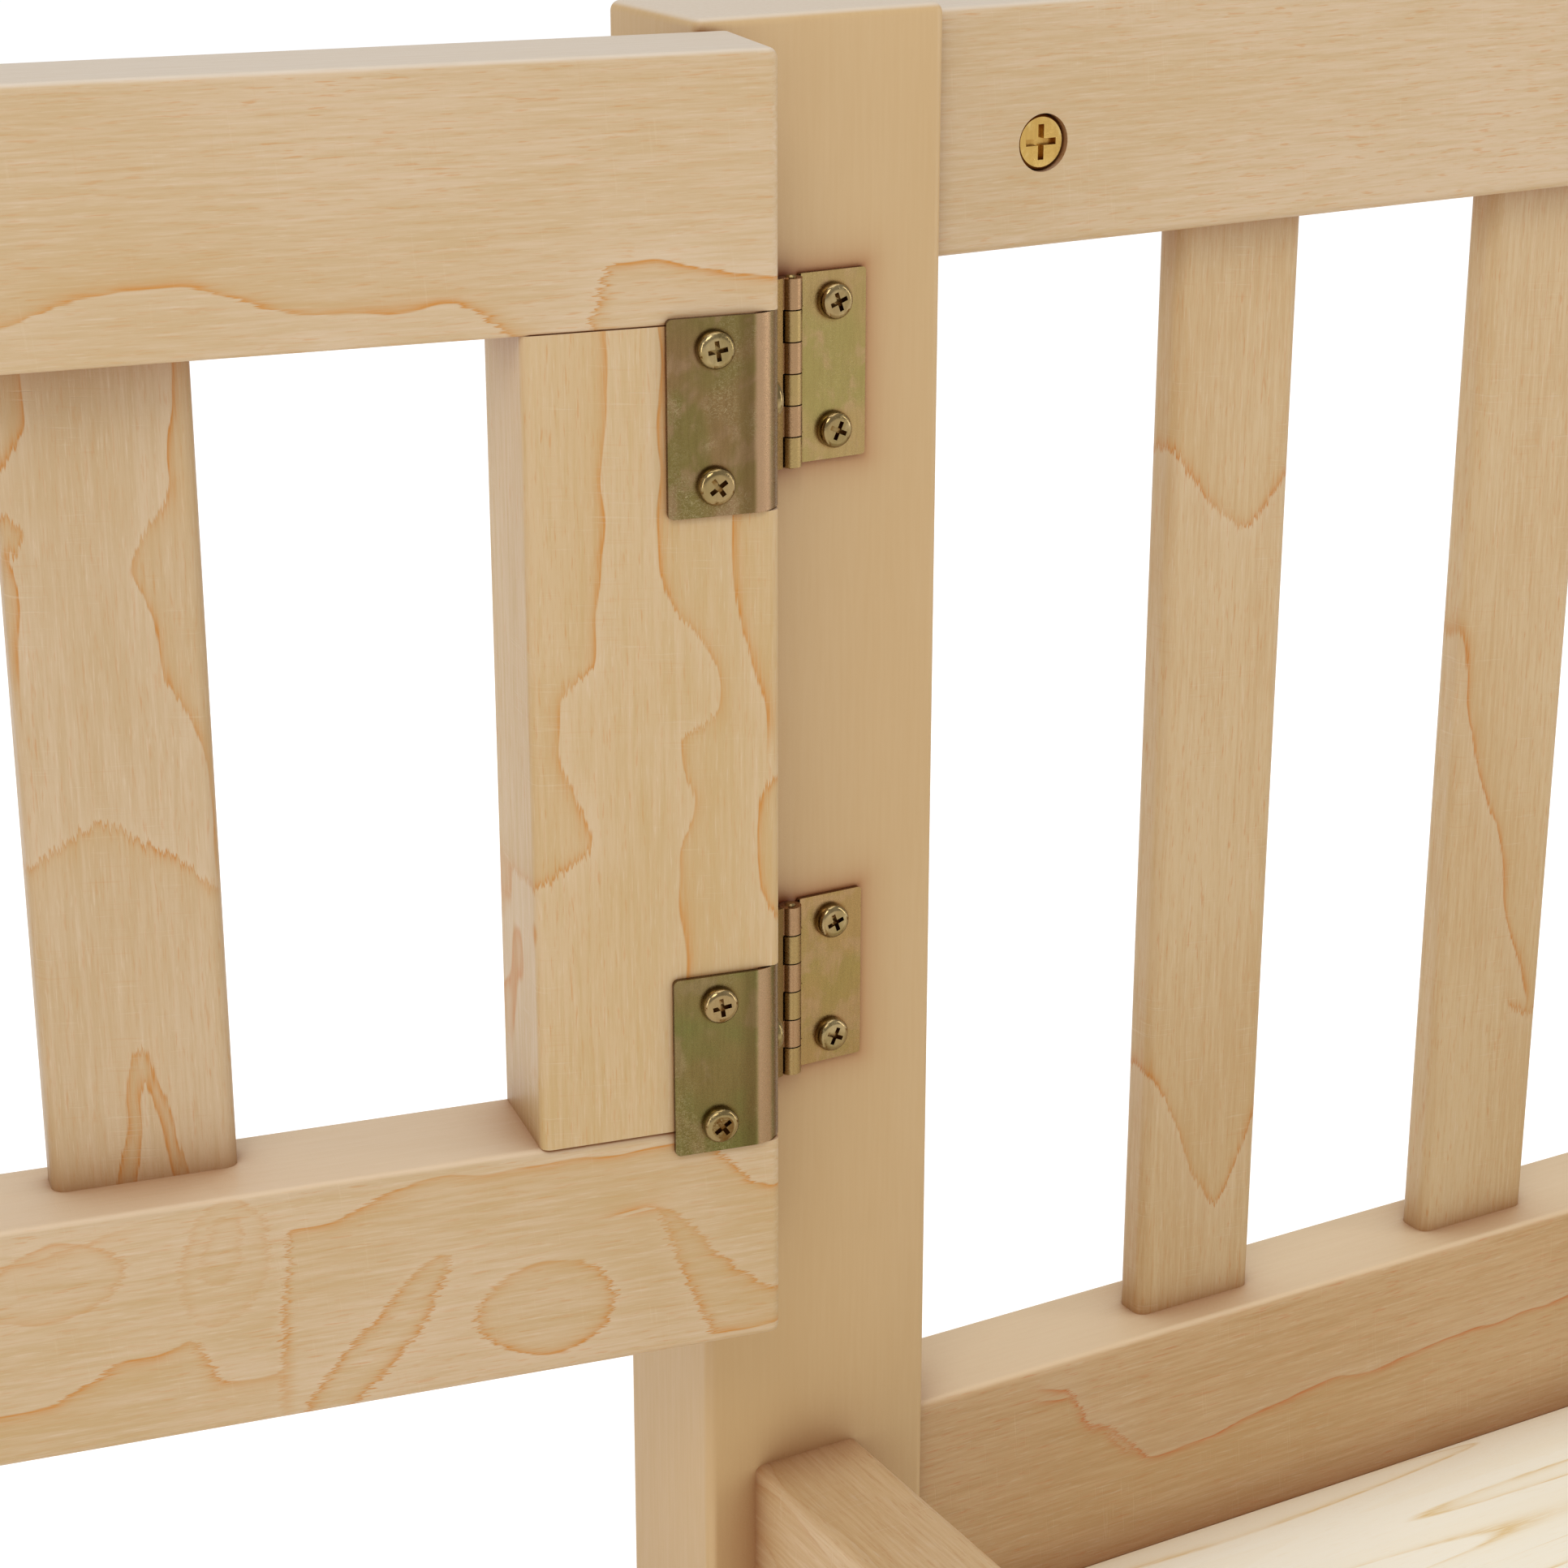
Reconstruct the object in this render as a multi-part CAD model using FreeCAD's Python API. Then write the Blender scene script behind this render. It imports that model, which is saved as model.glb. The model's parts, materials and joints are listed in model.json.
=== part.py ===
import FreeCAD, Part
import math
import os

# Wooden safety baby gate: a swinging slatted leaf on two wrap-round hinges, the posts it
# hangs between, the fixed slatted panel beside it and the low base that keeps it upright.
# Millimetres. Origin on the floor under the centre of the hinge post. +X runs along the
# fixed panel, +Y is the outer side of the fence, +Z is up.

V = FreeCAD.Vector
X_DIR = V(1, 0, 0)
Y_DIR = V(0, 1, 0)
Z_DIR = V(0, 0, 1)

# ---- driving dimensions -------------------------------------------------------------

post_w = 60.0            # post width along the fence
post_d = 40.0            # post depth across the fence
post_h = 435.0
edge_r = 2.2             # eased edge of posts and rails
slat_edge_r = 3.0        # rounded long edge of the thin slats
seam_edge_r = 0.8        # lower edges of the leaf's top rail, where the stiles meet it

rail_t = 30.0            # thickness of every rail and stile
rail_h = 53.5            # height of the top rails and of the leaf's bottom rail
rail_top = post_h - 2.0  # top rails finish just under the post tops
base_top = 95.5          # top of the panel's bottom rail and of the cross beams
panel_bottom_h = 80.0

slat_t = 10.0
tenon = 12.0             # how far a slat enters each rail
panel_slat_w = 35.4
panel_slat_pitch = 94.0
panel_slat_count = 4
panel_first_gap = 75.0   # post face to the first slat of the fixed panel

leaf_h = 283.0
stile_w = 54.0
leaf_slat_w = 39.0
leaf_gap = 62.0          # clear gap between the uprights of the leaf
leaf_slat_count = 3
leaf_slat_setback = 15.0 # front face of the leaf to the front face of its slats
rest_angle = 10.1        # the leaf rests this far open, free end on the outer side

beam_w = 28.0
beam_len = 320.0
beam_shift = -3.3        # centre of a cross beam from the centre of its post
threshold_h = 25.0
latch_gap = 9.3          # free edge of the closed leaf to the latch post

deck_t = 12.0
deck_top = 33.0
deck_gap = 1.0
deck_inset = 6.0         # deck's front edge behind the beam ends
ledger_w = 18.0
ledger_inset = 12.0      # ledger's front end behind the beam ends
ledger_back = 4.0        # ledger's back end to the post
ledger_screw_len = 38.0

sheet = 1.2              # thickness of the pressed hinge leaves
hinge_h = 41.0
knuckle_count = 6
knuckle_r = 2.5
pin_r = 1.25
knuckle_gap = 0.3        # between neighbouring knuckles
bore_play = 0.05         # radial running clearance on the pin
pivot_x = -9.5           # hinge axis
pivot_y = -22.8
pivot_in = 13.8          # leaf edge to the hinge axis, along the closed leaf
pivot_back = 32.4        # leaf front face to the hinge axis
wrap_w = 24.5            # reach of the wrap plate over the leaf's front
wrap_r = 6.5             # inner radius of the wrap bend
wrap_side = 26.0         # reach of the wrap plate along the leaf's edge
post_leaf_w = 19.5       # hinge axis to the outer edge of the post plate
hinge_centres = (360.5, 218.5)

screw_head_r = 4.0
screw_head_h = 2.4
screw_r = 1.8
screw_len = 20.0
screw_rim_r = 1.5        # rounding of the head
screw_taper = 4.0
recess_len = 4.2         # cross recess
recess_w = 1.0
recess_depth = 1.5
screw_spread = 28.0      # between the two screws of one hinge plate

dowel_r = 4.0
dowel_len = 40.0
glue_gap = 0.05
bolt_r = 3.0
bolt_head_r = 6.5
bolt_head_h = 5.0
bolt_sink = 6.0          # depth of the counterbore in the post
bolt_crown_r = 0.8       # rounding of the bolt head
bolt_past_nut = 2.0      # how far the bolt runs past its nut
socket_r = 2.3           # key socket, across its corners
socket_depth = 3.0
nut_r = 6.0
nut_len = 22.0
nut_hole_r = 6.4
nut_sink = 1.0           # the nut's face lies this far below the wood
nut_back = 29.0          # post face to the nut's centre
nut_slot_len = 7.8       # driver slot across the nut's face
nut_slot_w = 1.5
nut_slot_depth = 1.4

latch_z = 330.0
latch_rod_r = 4.0
latch_plate_t = 2.0
latch_axis_out = 7.5     # leaf front face to the rod's axis
keeper_block_w = 42.0
keeper_block_h = 70.0

# ---- places that follow from them ---------------------------------------------------

leaf_w = 2 * stile_w + leaf_slat_count * leaf_slat_w + (leaf_slat_count + 1) * leaf_gap
leaf_x1 = pivot_x - pivot_in
leaf_x0 = leaf_x1 - leaf_w
leaf_y0 = pivot_y - pivot_back
leaf_y1 = leaf_y0 + rail_t
leaf_z0 = rail_top - leaf_h
leaf_low_top = leaf_z0 + rail_h
leaf_high_bottom = rail_top - rail_h

post_front = -post_d / 2
panel_x0 = post_w / 2
panel_len = 2 * panel_first_gap + panel_slat_count * panel_slat_w
panel_len += (panel_slat_count - 1) * (panel_slat_pitch - panel_slat_w)
panel_x1 = panel_x0 + panel_len
end_post_x = panel_x1 + post_w / 2
latch_post_x = leaf_x0 - latch_gap - post_w / 2
latch_face_x = latch_post_x + post_w / 2
opening_x1 = -post_w / 2

rail_bolt_z = 402.5
rail_dowel_z = 388.5
low_bolt_z = 36.0
low_dowel_zs = (62.0, 81.0)
beam_bolt_z = 66.0
beam_dowel_zs = (24.0, 84.0)
threshold_mid_z = threshold_h / 2
threshold_dowel_ys = (-9.0, 9.0)       # beside the bolt at the latch post
threshold_blind_dowel_ys = (-8.0, 8.0)  # at the hinge post, where there is no bolt


# ---- small builders -----------------------------------------------------------------

def block(x0, x1, y0, y1, z0, z1):
    return Part.makeBox(x1 - x0, y1 - y0, z1 - z0, V(x0, y0, z0))


def rounded(shape, radius, pick):
    """Round the straight edges that pick(direction, middle) accepts."""
    edges = []
    for edge in shape.Edges:
        ends = [vertex.Point for vertex in edge.Vertexes]
        if len(ends) < 2:
            continue
        middle = (ends[0] + ends[1]) * 0.5
        if pick(edge.tangentAt(edge.FirstParameter), middle):
            edges.append(edge)
    return shape.makeFillet(radius, edges)


def board(x0, x1, y0, y1, z0, z1, along, radius):
    """A board whose long edges are eased, with square ends."""
    return rounded(block(x0, x1, y0, y1, z0, z1), radius,
                   lambda d, m: abs(d.dot(along)) > 0.9)


def eased(x0, x1, y0, y1, z0, z1, radius):
    """A board with every edge eased."""
    return rounded(block(x0, x1, y0, y1, z0, z1), radius, lambda d, m: True)


def rod(radius, length, start, direction):
    return Part.makeCylinder(radius, length, start, direction)


def cut_all(shape, tools):
    for tool in tools:
        shape = shape.cut(tool)
    return shape


def fuse_all(shapes):
    return shapes[0].fuse(shapes[1:]).removeSplitter()


def chamfered_pin(radius, length, start, direction, chamfer):
    """A round bar with a short cone at each end."""
    foot = Part.makeCone(radius - chamfer, radius, chamfer, start, direction)
    middle_start = start + direction * chamfer
    middle = rod(radius, length - 2 * chamfer, middle_start, direction)
    head_start = start + direction * (length - chamfer)
    head = Part.makeCone(radius, radius - chamfer, chamfer, head_start, direction)
    return fuse_all([foot, middle, head])


def side_of(direction):
    """A unit vector square to the direction."""
    if abs(direction.z) > 0.9:
        return X_DIR
    return Z_DIR


def screw(seat, inward, turn, length=screw_len):
    """A pan-head cross-recess wood screw whose head sits on the seat point."""
    out = inward * -1.0
    head = rod(screw_head_r, screw_head_h, seat, out)
    top = seat + out * screw_head_h
    rim = [e for e in head.Edges if (e.CenterOfMass - top).Length < 0.01]
    head = head.makeFillet(screw_rim_r, rim)
    straight = length - screw_taper
    shank = rod(screw_r, straight, seat, inward)
    point = Part.makeCone(screw_r, 0.25, screw_taper, seat + inward * straight, inward)
    body = fuse_all([head, shank, point])
    across = side_of(inward)
    frame = FreeCAD.Placement(top, FreeCAD.Rotation(across, across.cross(out), out, "ZXY"))
    for quarter in (0, 90):
        blade = Part.makeBox(recess_len, recess_w, recess_depth + 1.0,
                             V(-recess_len / 2, -recess_w / 2, -recess_depth))
        spin = FreeCAD.Placement(V(0, 0, 0), FreeCAD.Rotation(Z_DIR, turn + quarter))
        blade.Placement = frame.multiply(spin).multiply(blade.Placement)
        body = body.cut(blade)
    return body


def pilot(seat, inward, length=screw_len):
    return rod(screw_r + glue_gap, length + 0.5, seat, inward)


def turned(shape, angle):
    """The shape turned about the hinge axis."""
    copy = shape.copy()
    copy.rotate(V(pivot_x, pivot_y, 0), Z_DIR, angle)
    return copy


nodes = {}


def keep(name, shape):
    nodes[name] = shape


def keep_leaf(name, shape):
    """Store a piece of the leaf, turned from the closed pose to the resting one."""
    nodes[name] = turned(shape, -rest_angle)


# ---- joinery of the fixed frame -----------------------------------------------------

class Joint:
    """A butt joint pulled up by one connector bolt and located by dowels."""

    def __init__(self, face, inward, bolt_at, dowels_at, post_depth, nut_dir, nut_face):
        self.dowels = []
        self.dowel_holes = []
        for point in dowels_at:
            start = face + point - inward * (dowel_len / 2)
            self.dowels.append(chamfered_pin(dowel_r, dowel_len, start, inward, 0.8))
            hole_start = start - inward
            hole = rod(dowel_r + glue_gap, dowel_len + 2.0, hole_start, inward)
            self.dowel_holes.append(hole)
        self.bolt = None
        self.nut = None
        self.bolt_holes = []
        self.nut_holes = []
        if bolt_at is not None:
            self.add_bolt(face + bolt_at, inward, post_depth, nut_dir, nut_face)

    def add_bolt(self, point, inward, post_depth, nut_dir, nut_face):
        seat = point - inward * (post_depth - bolt_sink)
        length = post_depth - bolt_sink + nut_back + nut_r + bolt_past_nut
        head = rod(bolt_head_r, bolt_head_h, seat - inward * bolt_head_h, inward)
        crown = seat - inward * bolt_head_h
        rim = [e for e in head.Edges if (e.CenterOfMass - crown).Length < 0.01]
        head = head.makeFillet(bolt_crown_r, rim)
        shank = chamfered_pin(bolt_r, length, seat, inward, 0.6)
        bolt = fuse_all([head, shank])
        self.bolt = bolt.cut(hex_socket(crown, inward))
        sink = rod(bolt_head_r + 0.5, bolt_sink + 1.0, seat - inward * (bolt_sink + 1.0), inward)
        way = rod(bolt_r + 0.5, length + 3.0, seat, inward)
        self.bolt_holes = [sink, way]
        centre = point + inward * nut_back
        reach = nut_face - nut_sink
        nut_start = centre + nut_dir * reach
        nut = chamfered_pin(nut_r, nut_len, nut_start, nut_dir * -1.0, 0.5)
        nut = nut.cut(rod(bolt_r + glue_gap, 4 * nut_r, centre - inward * 2 * nut_r, inward))
        self.nut = nut.cut(nut_slot(nut_start, nut_dir, inward))
        mouth = centre + nut_dir * (nut_face + 1.0)
        self.nut_holes = [rod(nut_hole_r, nut_len + nut_sink + 1.5, mouth, nut_dir * -1.0)]


def hex_socket(crown, inward):
    """Six-sided key socket in a bolt head."""
    across = side_of(inward)
    other = inward.cross(across)
    points = []
    for k in range(7):
        a = math.radians(60 * k)
        points.append(crown + across * (socket_r * math.cos(a)) + other * (socket_r * math.sin(a)))
    face = Part.Face(Part.makePolygon(points))
    return face.extrude(inward * socket_depth)


def nut_slot(face_centre, out, along):
    """Cross-shaped driver slot in the round face of a barrel nut."""
    other = out.cross(along)
    half_len = nut_slot_len / 2
    half_w = nut_slot_w / 2
    blades = []
    for run, wide in ((along, other), (other, along)):
        corners = []
        for a, b in ((-1, -1), (1, -1), (1, 1), (-1, 1), (-1, -1)):
            corners.append(face_centre + run * (a * half_len) + wide * (b * half_w) + out * 0.5)
        blade = Part.Face(Part.makePolygon(corners)).extrude(out * -(nut_slot_depth + 0.5))
        blades.append(blade)
    return blades[0].fuse(blades[1])


def rail_joint(x_face, toward, bolt_z, dowel_zs, nut_side):
    """Rail end against a post: the bolt comes through the width of the post."""
    return Joint(V(x_face, 0, 0), X_DIR * toward, V(0, 0, bolt_z),
                 [V(0, 0, z) for z in dowel_zs], post_w, Y_DIR * nut_side, rail_t / 2)


def beam_joint(x_post):
    """Cross beam against the inner face of a post."""
    return Joint(V(x_post + beam_shift, post_front, 0), Y_DIR * -1.0, V(0, 0, beam_bolt_z),
                 [V(0, 0, z) for z in beam_dowel_zs], post_d, X_DIR, beam_w / 2)


panel_joints = {
    "top_left": rail_joint(panel_x0, 1, rail_bolt_z, [rail_dowel_z], -1),
    "top_right": rail_joint(panel_x1, -1, rail_bolt_z, [rail_dowel_z], -1),
    "low_left": rail_joint(panel_x0, 1, low_bolt_z, low_dowel_zs, 1),
    "low_right": rail_joint(panel_x1, -1, low_bolt_z, low_dowel_zs, 1),
}
beam_joints = {
    "latch": beam_joint(latch_post_x),
    "hinge": beam_joint(0.0),
    "end": beam_joint(end_post_x),
}
latch_threshold_joint = Joint(
    V(latch_face_x, 0, 0), X_DIR, V(0, 0, threshold_mid_z),
    [V(0, y, threshold_mid_z) for y in threshold_dowel_ys], post_w, Y_DIR, rail_t / 2)
hinge_threshold_joint = Joint(
    V(opening_x1, 0, 0), X_DIR * -1.0, None,
    [V(0, y, threshold_mid_z) for y in threshold_blind_dowel_ys], post_w, None, 0.0)
all_joints = list(panel_joints.values()) + list(beam_joints.values())
all_joints += [latch_threshold_joint, hinge_threshold_joint]


def joint_tools(joint):
    return joint.dowel_holes + joint.bolt_holes


# ---- hinges -------------------------------------------------------------------------

def knuckle_spans(centre):
    """Bottom and top of each knuckle, listed from the top down."""
    pitch = hinge_h / knuckle_count
    top = centre + hinge_h / 2
    return [(top - (k + 1) * pitch + knuckle_gap / 2, top - k * pitch - knuckle_gap / 2)
            for k in range(knuckle_count)]


def tube(radius, bore, z0, z1):
    outer = rod(radius, z1 - z0, V(pivot_x, pivot_y, z0), Z_DIR)
    inner = rod(bore, z1 - z0 + 2, V(pivot_x, pivot_y, z0 - 1), Z_DIR)
    return outer.cut(inner)


def post_leaf(centre):
    """Flat plate on the post's inner face, curled round the pin at every other knuckle."""
    spans = knuckle_spans(centre)
    z0 = centre - hinge_h / 2
    z1 = centre + hinge_h / 2
    plate = block(pivot_x + knuckle_r + 0.5, pivot_x + post_leaf_w,
                  post_front - sheet, post_front, z0, z1)
    plate = rounded(plate, 0.8, lambda d, m: abs(d.y) > 0.9)
    curls = []
    for low, high in spans[1::2]:
        strip_y1 = pivot_y + knuckle_r
        strip = block(pivot_x, pivot_x + knuckle_r + 1.5, strip_y1 - sheet, strip_y1, low, high)
        curls.append(tube(knuckle_r, pin_r + bore_play, low, high))
        curls.append(strip.cut(rod(pin_r + bore_play, 2 * hinge_h,
                                   V(pivot_x, pivot_y, z0 - 1), Z_DIR)))
    leaf = fuse_all([plate] + curls)
    notch_r = knuckle_r + 1.3
    for low, high in spans[0::2]:
        leaf = leaf.cut(rod(notch_r, high - low + 2 * knuckle_gap,
                            V(pivot_x, pivot_y, low - knuckle_gap), Z_DIR))
    for sign in (-1, 1):
        hole_at = V(post_screw_x, post_front + 1, centre + sign * screw_spread / 2)
        leaf = leaf.cut(rod(screw_r + 0.4, 4, hole_at, Y_DIR * -1.0))
    return leaf


def wrap_leaf(centre):
    """Plate bent round the leaf's corner and back to the pin, in the closed pose."""
    spans = knuckle_spans(centre)
    z0 = centre - hinge_h / 2
    z1 = centre + hinge_h / 2
    bend_x = leaf_x1 - wrap_r
    bend_y = leaf_y0 + wrap_r
    side_back = leaf_y0 + wrap_side
    front = block(leaf_x1 - wrap_w, bend_x, leaf_y0 - sheet, leaf_y0, z0, z1)
    front = rounded(front, 1.2, lambda d, m: abs(d.y) > 0.9 and m.x < bend_x - 5)
    ring = rod(wrap_r + sheet, hinge_h, V(bend_x, bend_y, z0), Z_DIR)
    ring = ring.cut(rod(wrap_r, hinge_h, V(bend_x, bend_y, z0), Z_DIR))
    ring = ring.common(block(bend_x, leaf_x1 + sheet, leaf_y0 - sheet, bend_y, z0, z1))
    side = block(leaf_x1, leaf_x1 + sheet, bend_y, side_back, z0, z1)
    crank_start = V(leaf_x1 + sheet / 2, side_back, z0)
    crank_run = V(pivot_x, pivot_y, z0) - crank_start
    crank = Part.makeBox(crank_run.Length, sheet, hinge_h, V(0, -sheet / 2, 0))
    crank.Placement = FreeCAD.Placement(crank_start, FreeCAD.Rotation(X_DIR, crank_run))
    elbow = rod(sheet / 2, hinge_h, crank_start, Z_DIR)
    body = fuse_all([front, ring, side, elbow, crank])
    bore = rod(pin_r + bore_play, 2 * hinge_h, V(pivot_x, pivot_y, z0 - 1), Z_DIR)
    curls = [tube(knuckle_r, pin_r + bore_play, low, high) for low, high in spans[0::2]]
    notch_r = knuckle_r + 0.5
    for low, high in spans[1::2]:
        body = body.cut(rod(notch_r, high - low + 2 * knuckle_gap,
                            V(pivot_x, pivot_y, low - knuckle_gap), Z_DIR))
    leaf = fuse_all([body.cut(bore)] + curls)
    for sign in (-1, 1):
        hole_at = V(wrap_screw_x, leaf_y0 - sheet - 1, centre + sign * screw_spread / 2)
        leaf = leaf.cut(rod(screw_r + 0.4, 4, hole_at, Y_DIR))
    side_hole = V(leaf_x1 + sheet + 1, side_screw_y, centre)
    return leaf.cut(rod(screw_r + 0.4, 4, side_hole, X_DIR * -1.0))


def hinge_pin(centre):
    """Pin with domed ends that stand just proud of the knuckles."""
    length = hinge_h + 0.8
    start = V(pivot_x, pivot_y, centre - length / 2)
    return chamfered_pin(pin_r, length, start, Z_DIR, 0.4)


def corner_seat(centre):
    """The leaf's corner is rounded off under the wrap plate so that it seats."""
    z0 = centre - hinge_h / 2 - 0.2
    height = hinge_h + 0.4
    bend = V(leaf_x1 - wrap_r, leaf_y0 + wrap_r, z0)
    square = block(bend.x, leaf_x1 + 1, leaf_y0 - 1, bend.y, z0, z0 + height)
    return square.cut(rod(wrap_r, height, bend, Z_DIR))


post_screw_x = pivot_x + 11.5
wrap_screw_x = leaf_x1 - 14.5
side_screw_y = leaf_y0 + 11.0


def hinge_screw_seats(centre):
    """Seat, direction and recess angle of each screw: on the post, then on the leaf."""
    half = screw_spread / 2
    on_post = [(V(post_screw_x, post_front - sheet, centre + half), Y_DIR, 20),
               (V(post_screw_x, post_front - sheet, centre - half), Y_DIR, 65)]
    on_leaf = [(V(wrap_screw_x, leaf_y0 - sheet, centre + half), Y_DIR, 8),
               (V(wrap_screw_x, leaf_y0 - sheet, centre - half), Y_DIR, 35),
               (V(leaf_x1 + sheet, side_screw_y, centre), X_DIR * -1.0, 50)]
    return on_post, on_leaf


# ---- fixed frame --------------------------------------------------------------------

def post(x_centre):
    x0 = x_centre - post_w / 2
    return rounded(block(x0, x0 + post_w, -post_d / 2, post_d / 2, 0, post_h), edge_r,
                   lambda d, m: abs(d.z) > 0.9 or m.z > 1.0)


def build_posts():
    post_pilots = []
    for centre in hinge_centres:
        for seat, inward, turn in hinge_screw_seats(centre)[0]:
            post_pilots.append(pilot(seat, inward))
    tools = post_pilots + joint_tools(panel_joints["top_left"])
    tools += joint_tools(panel_joints["low_left"]) + joint_tools(beam_joints["hinge"])
    tools += joint_tools(hinge_threshold_joint)
    keep("hinge_post", cut_all(post(0.0), tools))
    tools = joint_tools(panel_joints["top_right"]) + joint_tools(panel_joints["low_right"])
    tools += joint_tools(beam_joints["end"])
    keep("end_post", cut_all(post(end_post_x), tools))
    tools = joint_tools(beam_joints["latch"]) + joint_tools(latch_threshold_joint)
    tools += [pilot(seat, Y_DIR, block_screw_len) for seat in block_screw_seats()]
    keep("latch_post", cut_all(post(latch_post_x), tools))


def build_panel():
    y0 = -rail_t / 2
    top = board(panel_x0, panel_x1, y0, -y0, rail_top - rail_h, rail_top, X_DIR, edge_r)
    low = board(panel_x0, panel_x1, y0, -y0, base_top - panel_bottom_h, base_top, X_DIR, edge_r)
    for k in range(panel_slat_count):
        x0 = panel_x0 + panel_first_gap + k * panel_slat_pitch
        slat = board(x0, x0 + panel_slat_w, -slat_t / 2, slat_t / 2,
                     base_top - tenon, rail_top - rail_h + tenon, Z_DIR, slat_edge_r)
        top = top.cut(slat)
        low = low.cut(slat)
        keep("panel_slat_%d" % (k + 1), slat)
    for side in ("left", "right"):
        joint = panel_joints["top_" + side]
        top = cut_all(top, joint_tools(joint) + joint.nut_holes)
        joint = panel_joints["low_" + side]
        low = cut_all(low, joint_tools(joint) + joint.nut_holes)
    keep("panel_top_rail", top)
    keep("panel_bottom_rail", low)


def build_base():
    ledger_screws = []
    for name, x_post in (("latch", latch_post_x), ("hinge", 0.0), ("end", end_post_x)):
        x_mid = x_post + beam_shift
        beam = rounded(block(x_mid - beam_w / 2, x_mid + beam_w / 2, post_front - beam_len,
                             post_front, 0, base_top), edge_r,
                       lambda d, m: m.z > 1.0 and m.y < post_front - 1.0)
        joint = beam_joints[name]
        beam = cut_all(beam, joint_tools(joint) + joint.nut_holes)
        side = {"hinge": 1, "end": -1}.get(name)
        if side is not None:
            face_x = x_mid + side * beam_w / 2
            ledger, screws = build_ledger(face_x, side)
            for seat, inward in screws:
                ledger = ledger.cut(rod(screw_r + 0.3, 60, seat + inward * -5.0, inward))
                beam = beam.cut(pilot(seat, inward, ledger_screw_len))
                ledger_screws.append(screw(seat, inward, 30, ledger_screw_len))
            keep("deck_ledger_left" if side > 0 else "deck_ledger_right", ledger)
        keep(name + "_beam", beam)
    keep("deck_ledger_screws", Part.makeCompound(ledger_screws))

    threshold = board(latch_face_x, opening_x1, -rail_t / 2, rail_t / 2, 0, threshold_h,
                      X_DIR, edge_r)
    tools = joint_tools(latch_threshold_joint) + latch_threshold_joint.nut_holes
    tools += joint_tools(hinge_threshold_joint)
    keep("threshold_rail", cut_all(threshold, tools))

    x0 = beam_shift + beam_w / 2 + deck_gap
    x1 = end_post_x + beam_shift - beam_w / 2 - deck_gap
    y1 = -rail_t / 2 - 0.2
    deck = rounded(block(x0, x1, post_front - beam_len + deck_inset, y1, deck_top - deck_t, deck_top),
                   1.0, lambda d, m: m.z > deck_top - 1 and m.y < post_front)
    notch = post_front - deck_gap
    deck = deck.cut(block(x0 - 5, panel_x0 + deck_gap, notch, 0, 0, post_h))
    deck = deck.cut(block(panel_x1 - deck_gap, x1 + 5, notch, 0, 0, post_h))
    keep("deck_board", deck)


def build_ledger(face_x, side):
    """Strip on the inner side of a cross beam that carries the deck board."""
    xa, xb = sorted((face_x, face_x + side * ledger_w))
    z1 = deck_top - deck_t
    strip = block(xa, xb, post_front - beam_len + ledger_inset, post_front - ledger_back,
                  z1 - ledger_w, z1)
    strip = rounded(strip, 1.0, lambda d, m: abs(d.y) > 0.9)
    screws = []
    for part in (0.15, 0.5, 0.85):
        seat = V(face_x + side * ledger_w, post_front - beam_len * part, z1 - ledger_w / 2)
        screws.append((seat, X_DIR * -side))
    return strip, screws


def build_fasteners():
    keep("connector_bolts", Part.makeCompound([j.bolt for j in all_joints if j.bolt]))
    keep("barrel_nuts", Part.makeCompound([j.nut for j in all_joints if j.nut]))
    dowels = [d for j in all_joints for d in j.dowels]
    keep("frame_dowels", Part.makeCompound(dowels))


# ---- swinging leaf ------------------------------------------------------------------

def leaf_dowel_points(x0, x1):
    return [x0 + (x1 - x0) * part for part in (0.17, 0.5)]


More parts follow.
